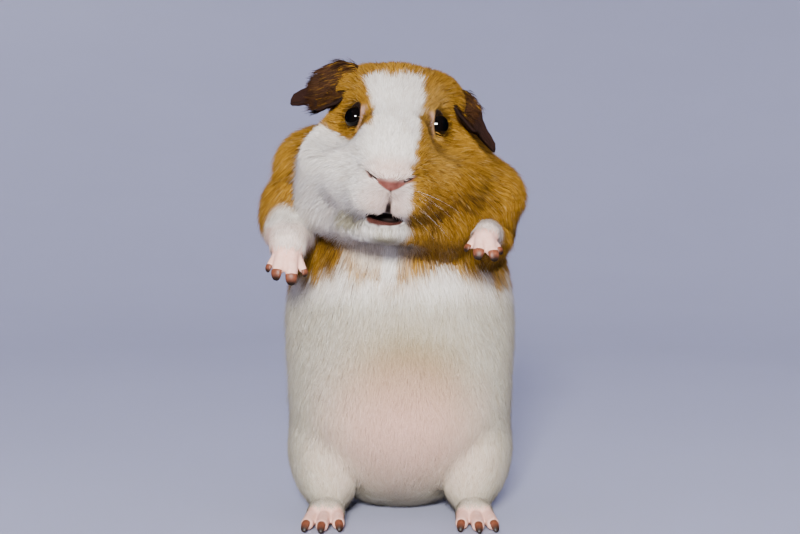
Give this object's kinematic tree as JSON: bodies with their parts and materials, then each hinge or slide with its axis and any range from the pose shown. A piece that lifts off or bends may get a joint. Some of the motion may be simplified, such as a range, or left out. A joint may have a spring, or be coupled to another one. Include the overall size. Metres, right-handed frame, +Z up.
{
  "type": "guinea pig",
  "caption": "Still, life-size guinea pig sitting up on its haunches, face to the front, with orange and white short fur, dark ears and hanging forepaws.",
  "frame": {"origin": "middle of the base of the whole animal's box, on the floor it sits on", "axes": "+Z up along the upright body, -Y the way the animal faces, +X to its left side"},
  "size_m": [0.1118, 0.1334, 0.1884],
  "materials": {
    "white_coat": "short soft white fur over pinkish skin, matt with a faint sheen",
    "orange_coat": "short golden orange fur with darker brown flecks",
    "ear": "thin dark brown skin with fine streaked hair near the root",
    "foot": "pale pink skin with very short white hair",
    "bare_skin": "moist pink bare skin of the nose",
    "eye": "wet, glossy, near-black eye",
    "claw": "translucent pinkish brown horn"
  },
  "bodies": {
    "root": {"abdomen": "white_coat", "chest": "orange_coat", "claw_fore_left_1": "claw", "claw_fore_left_2": "claw", "claw_fore_left_3": "claw", "claw_fore_left_4": "claw", "claw_fore_right_1": "claw", "claw_fore_right_2": "claw", "claw_fore_right_3": "claw", "claw_fore_right_4": "claw", "claw_hind_left_1": "claw", "claw_hind_left_2": "claw", "claw_hind_left_3": "claw", "claw_hind_right_1": "claw", "claw_hind_right_2": "claw", "claw_hind_right_3": "claw", "ear_left": "ear", "ear_right": "ear", "eye_left": "eye", "eye_right": "eye", "forearm_left": "white_coat", "forearm_right": "white_coat", "forefoot_left": "foot", "forefoot_right": "foot", "head": "white_coat", "hindfoot_left": "foot", "hindfoot_right": "foot", "lower_jaw": "white_coat", "neck": "orange_coat", "nose": "bare_skin", "rump": "white_coat", "thigh_left": "white_coat", "thigh_right": "white_coat", "upper_arm_left": "orange_coat", "upper_arm_right": "orange_coat"}
  },
  "joints": []
}
